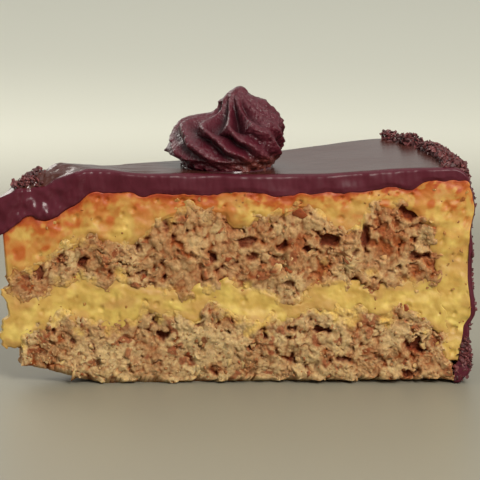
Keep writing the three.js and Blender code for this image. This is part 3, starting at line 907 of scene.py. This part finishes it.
# Grated chocolate: the same cocoa as the glaze, but broken, so it is dull; flakes differ in tone at random.
grated, place = new_material("grated_chocolate")
FLAKE_GRAIN = 0.4 * MM
shade = wire(grated, "Attribute", attribute_name="shade")["Fac"]
grain = wire(grated, "TexNoise", {"Vector": place, "Scale": 1 / FLAKE_GRAIN})[0]
colour = wire(grated, "MixRGB", {"Fac": shade, "Color1": linear("#301012"), "Color2": linear("#642c2c")})[0]
bump = wire(grated, "Bump", {"Height": grain, "Strength": 0.5, "Distance": 0.1 * MM})[0]
wire(grated, "Principled BSDF", {"Base Color": colour, "Roughness": 0.55, "IOR": 1.47, "Normal": bump})

flakes = make_piece("chocolate_flakes", points, faces, fields, grated, smooth=False)


# Piped rosette
# Whipped chocolate cream pressed through a star nozzle with a twist and pulled off to a nub. Its ridges are
# round, its grooves deep and its skin slightly grainy.

# Height, radius on the left and radius on the right of the heap without its grooves.
ROSETTE_OUTLINE = [
    (0, 0, 0), (0, 14.6, 7.2), (0.9, 15.2, 7.6), (2.4, 16.2, 9.7), (3, 18, 10), (4, 18.9, 10.4),
    (6.1, 18.8, 11), (8.2, 17.7, 11.4), (9.4, 17.4, 11.5), (11.3, 16, 10.9), (12.2, 14.4, 10.5),
    (12.7, 11.5, 10.3), (13.3, 8.2, 9.9), (14.1, 6.6, 9.2), (15.3, 4.8, 8.2), (16.7, 4.3, 6.4),
    (17.7, 4, 3.6), (18.6, 3.2, 2), (19.2, 2.2, 1.6), (19.9, 1.6, 1.2), (20.3, 0.9, 0.7), (20.4, 0, 0),
]
ROSETTE_HEIGHT = 20.4
ROSETTE_PEAK = np.array([3.4, 0.0])
RIDGES = 12
FIRST_RIDGE = radians(24.6)
ROSETTE_GROOVE = 0.28
ROSETTE_DEEPEST = 3.2
ROSETTE_CREST = 0.32
ROSETTE_LEANS = radians(18)
TWIST = radians(-115)
ROSETTE_LIP = 3.2
ROSETTE_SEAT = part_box("rosette")[0].z / MM - 0.7
ROSETTE_ORIGIN = np.array([*(AXIS + ROSETTE_PLACE + ROSETTE_PEAK), ROSETTE_SEAT])
ROSETTE_GRID = (480, 200)
SMOOTHED_OVER = 15

# Torn points: their angle in degrees, their height and how far they stand out.
ROSETTE_TORN = [(180, 16.6, 1.2), (178, 3.6, 1.0), (-60, 2.2, 0.7), (-115, 2.0, 0.6)]


def leaning_radius(left, right, angle):
    """From the left radius to the right one with the cosine of the angle from where the heap leans."""
    return (left + right + (right - left) * np.cos(angle - ROSETTE_LEANS)) / 2


def rosette_surface(around, rows):
    """A heap between a smoothed left and right outline. Round ridges turn with height by the twist, and the
    grooves between them are cut along its normal, less deep at the foot, the peak and high on the right.
    Noise makes it uneven, grainy on the right and ragged at the lip, and torn points stand out. Rings of
    points close on the axis at the foot and the peak."""
    outline = np.array(ROSETTE_OUTLINE, float)
    length = np.append(0, np.cumsum(np.linalg.norm(np.diff(outline, axis=0), axis=1)))
    along = np.linspace(0, length[-1], rows + 1)[1:-1]
    soft = np.hanning(SMOOTHED_OVER) / np.hanning(SMOOTHED_OVER).sum()
    lines = [np.pad(np.interp(along, length, line), SMOOTHED_OVER // 2, mode="edge") for line in outline.T]
    height, left, right = (np.convolve(line, soft, "valid")[:, None] for line in lines)
    a = np.linspace(0, 2 * pi, around, endpoint=False)[None]
    turned = a + TWIST * height / ROSETTE_HEIGHT
    even = leaning_radius(left, right, turned)
    spot = np.stack([even * np.cos(turned), even * np.sin(turned), height + 0 * a], -1).reshape(-1, 3)

    def noise(size, octaves, seed):
        """A fractal noise on the heap's own surface."""
        return fractal(spot, size, octaves, seed).reshape(even.shape)

    ridge = RIDGES / (2 * pi) * (a - FIRST_RIDGE + 0.1 * noise(9, 2, 103))
    scoop = 1 - np.exp(-(((ridge - np.round(ridge)) / ROSETTE_CREST) ** 2))
    pulled_off = ease((np.cos(turned) + 0.1) / 0.8) * ease((height - 6) / 6)
    depth = (0.2 + 0.8 * ease((height - 0.5) / 3.5)) * ease((20 - height) / 6)
    depth = depth * (1 - 0.6 * pulled_off) * (1 + 0.5 * noise(8, 2, 105))
    cut = np.minimum(ROSETTE_GROOVE * even, ROSETTE_DEEPEST) * depth * scoop
    rise = np.gradient(height + 0 * a, axis=0)
    swing = np.gradient(even, axis=0)
    steep = np.hypot(rise, swing)
    level = height + np.minimum(cut * swing / steep, 0) * ease((height - 5) / 4)
    body = even - cut * np.abs(rise) / steep
    ragged = 0.9 * noise(1.8, 3, 106) * ease(1 - height / ROSETTE_LIP)
    grainy = (0.06 + 0.16 * ease(0.4 + np.cos(turned))) * noise(0.8, 2, 107)
    body = body + (0.5 * noise(4, 2, 101) + 0.3 * noise(1.1, 3, 102) + grainy + ragged) * ease(even / 4)
    for angle, place, reach in ROSETTE_TORN:
        sideways = even * np.abs(np.angle(np.exp(1j * (turned - radians(angle)))))
        body = body + reach * np.exp(-(sideways**2 + (height - place) ** 2) / 0.5)
    ring = np.stack([body * np.cos(turned), body * np.sin(turned), level], -1).reshape(-1, 3)
    points = np.concatenate([ring, [[0, 0, 0], [0, 0, ROSETTE_HEIGHT]]])
    here = np.arange(len(ring)).reshape(rows - 1, around)
    there = np.roll(here, -1, axis=1)
    quads = np.stack([here[:-1], there[:-1], there[1:], here[1:]], -1).reshape(-1, 4)
    foot = np.stack([there[0], here[0], np.full(around, len(ring))], -1)
    peak = np.stack([here[-1], there[-1], np.full(around, len(ring) + 1)], -1)
    faces = np.concatenate([quads[:, [0, 1, 2]], quads[:, [0, 2, 3]], foot, peak])
    # Painted light: the lip is browner on all but its left side.
    lip = ease(1.6 - height / ROSETTE_LIP) * ease(0.6 + np.cos(turned))
    fields = {
        # Painted shade: darkest where the grooves are deepest.
        "groove_shade": np.append(scoop * depth, [0, 0]),
        "lip": np.append(lip, [1, 0]),
    }
    return points, faces, fields


# Piped chocolate cream: whipped butter and cocoa, satin. Painted light browns the lip on all but its left
# side, and painted shade darkens the grooves.
piped, place = new_material("piped_chocolate_cream")
PIPED_GRAIN = 0.7 * MM
grain = wire(piped, "TexNoise", {"Vector": place, "Scale": 1 / PIPED_GRAIN, "Detail": 4.0})[0]
groove_shade = wire(piped, "Attribute", attribute_name="groove_shade")["Fac"]
lip = wire(piped, "Attribute", attribute_name="lip")["Fac"]
# Painted light browns the lip.
painted_lip_light = wire(piped, "MapRange", {"Value": lip, "To Max": 0.6})[0]
# Painted shade darkens the grooves.
dark = wire(piped, "MapRange", {"Value": groove_shade, "From Min": 0.2, "To Max": 0.75})[0]
colour = linear("#380d17")
for share, over in ((grain, "#561c27"), (painted_lip_light, "#5e2f20"), (dark, "#1c060b")):
    colour = wire(piped, "MixRGB", {"Fac": share, "Color1": colour, "Color2": linear(over)})[0]
bump = wire(piped, "Bump", {"Height": grain, "Distance": 0.4 * MM})[0]
wire(piped, "Principled BSDF", {
    "Base Color": colour, "Roughness": 0.3, "Specular IOR Level": 0.32, "Normal": bump})

points, faces, fields = rosette_surface(*ROSETTE_GRID)
rosette = make_piece("piped_rosette", points + ROSETTE_ORIGIN, faces, fields, piped)
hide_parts("rosette")


# Melted bead
# Glaze that was still soft when the rosette was piped on it, squeezed out around its foot. It is glossier
# than the rest.

BEAD_RADIUS = 0.75
BEAD_CIRCLE = 9.0
BEAD_GRID = (240, 16)


def bead_around(around, sides):
    """A tube around the rosette's foot, with waves along its middle line and a thickness that comes and
    goes. Both noises are read on a circle, so that they close."""
    a = np.linspace(0, 2 * pi, around, endpoint=False)[:, None]
    t = np.linspace(0, 2 * pi, sides, endpoint=False)[None]
    circle = BEAD_CIRCLE * np.concatenate([np.cos(a), np.sin(a), 0 * a], -1)
    reach = leaning_radius(*ROSETTE_OUTLINE[1][1:], a) + 0.3 * fractal(circle, 4, 2, 111)[:, None]
    thick = BEAD_RADIUS * (0.8 + 0.5 * fractal(circle, 3, 2, 112)[:, None])
    ring = reach + thick * np.cos(t)
    points = np.stack([ring * np.cos(a), ring * np.sin(a), thick * np.sin(t)], -1).reshape(-1, 3)
    here = np.arange(around * sides).reshape(around, sides)
    there = np.roll(here, -1, axis=0)
    faces = np.stack([here, there, np.roll(there, -1, axis=1), np.roll(here, -1, axis=1)], -1).reshape(-1, 4)
    return points, faces


# Melted chocolate: the glaze where it flowed last, wet-looking.
melted, place = new_material("melted_chocolate")
MELTED_CLOUD = 1.5 * MM
cloud = wire(melted, "TexNoise", {"Vector": place, "Scale": 1 / MELTED_CLOUD})[0]
colour = wire(melted, "MixRGB", {"Fac": cloud, "Color1": linear("#2c0a11"), "Color2": linear("#401620")})[0]
wire(melted, "Principled BSDF", {"Base Color": colour, "Roughness": 0.16, "Specular IOR Level": 0.6})

points, faces = bead_around(*BEAD_GRID)
bead = make_piece("melted_bead", points + ROSETTE_ORIGIN, faces, {}, melted)


# Stage, light and camera
# A wide pale floor that is a little darker around the slice, soft light from all round and above, a key
# light from the right and in front, a weak light from behind, and a long lens a little above the slice.

FLOOR_REACH = 3000.0
FLOOR_DARK_TO = 180.0
FLOOR_PALE_FROM = 480.0

# Matt painted board: even and nearly without gloss, so that the slice's own colours show.
board, place = new_material("matt_painted_board")
away = wire(board, "VectorMath", {0: place}, operation="LENGTH")["Value"]
share = wire(board, "MapRange", {
    "Value": away, "From Min": FLOOR_DARK_TO * MM, "From Max": FLOOR_PALE_FROM * MM,
}, interpolation_type="SMOOTHSTEP")[0]
colour = wire(board, "MixRGB", {"Fac": share, "Color1": linear("#7f7b6c"), "Color2": linear("#e4e3d2")})[0]
wire(board, "Principled BSDF", {"Base Color": colour, "Roughness": 0.45})
mesh = bpy.data.meshes.new("floor")
corners = np.array([(-1, -1, 0), (1, -1, 0), (1, 1, 0), (-1, 1, 0)]) * FLOOR_REACH * MM
mesh.from_pydata(corners, [], [(0, 1, 2, 3)])
mesh.materials.append(board)
floor = bpy.data.objects.new("floor", mesh)
scene.collection.objects.link(floor)

LIGHTS_AIM = (0, 0, 30)
WORLD_STRENGTH = 0.6
CAMERA_AIM = np.array([0.43, AXIS[1], 36.8])
CAMERA_DISTANCE = 700.0
CAMERA_DROP = radians(9.8)
FRAME_WIDTH = 120.0
NEAREST_SEEN = 10.0


def aimed(thing, place, target):
    """Puts a light or camera at a place, in millimetres, looking at a target."""
    way = Vector(np.subtract(target, place).tolist())
    thing.location = Vector(place) * MM
    thing.rotation_euler = way.to_track_quat("-Z", "Y").to_euler()
    scene.collection.objects.link(thing)


for name, place, size, spread, power, colour in (
    ("key", (310.0, -710.0, 540.0), 340.0, 70.0, 1.7, "#fffaf2"),
    ("back", (-450.0, 620.0, 480.0), 500.0, 70.0, 0.6, "#fffaf2"),
    ("top", (0.0, 250.0, 1700.0), 1600.0, 180.0, 7.5, "#ffffff"),
):
    light = bpy.data.lights.new(name, "AREA")
    light.size = size * MM
    light.spread = radians(spread)
    light.energy = power
    light.color = linear(colour)[:3]
    aimed(bpy.data.objects.new(name, light), place, LIGHTS_AIM)

world = bpy.data.worlds.new("studio")
world.use_nodes = True
wire(world, "Background", {"Color": linear("#f2f1ea"), "Strength": WORLD_STRENGTH})
scene.world = world
scene.view_settings.view_transform = "Standard"

lens = bpy.data.cameras.new("camera")
camera = bpy.data.objects.new("camera", lens)
eye = CAMERA_AIM + CAMERA_DISTANCE * np.array([0, -1, tan(CAMERA_DROP)])
lens.lens = lens.sensor_width * float(np.linalg.norm(eye - CAMERA_AIM)) / FRAME_WIDTH
lens.clip_start = NEAREST_SEEN * MM
aimed(camera, eye.tolist(), CAMERA_AIM.tolist())
scene.camera = camera
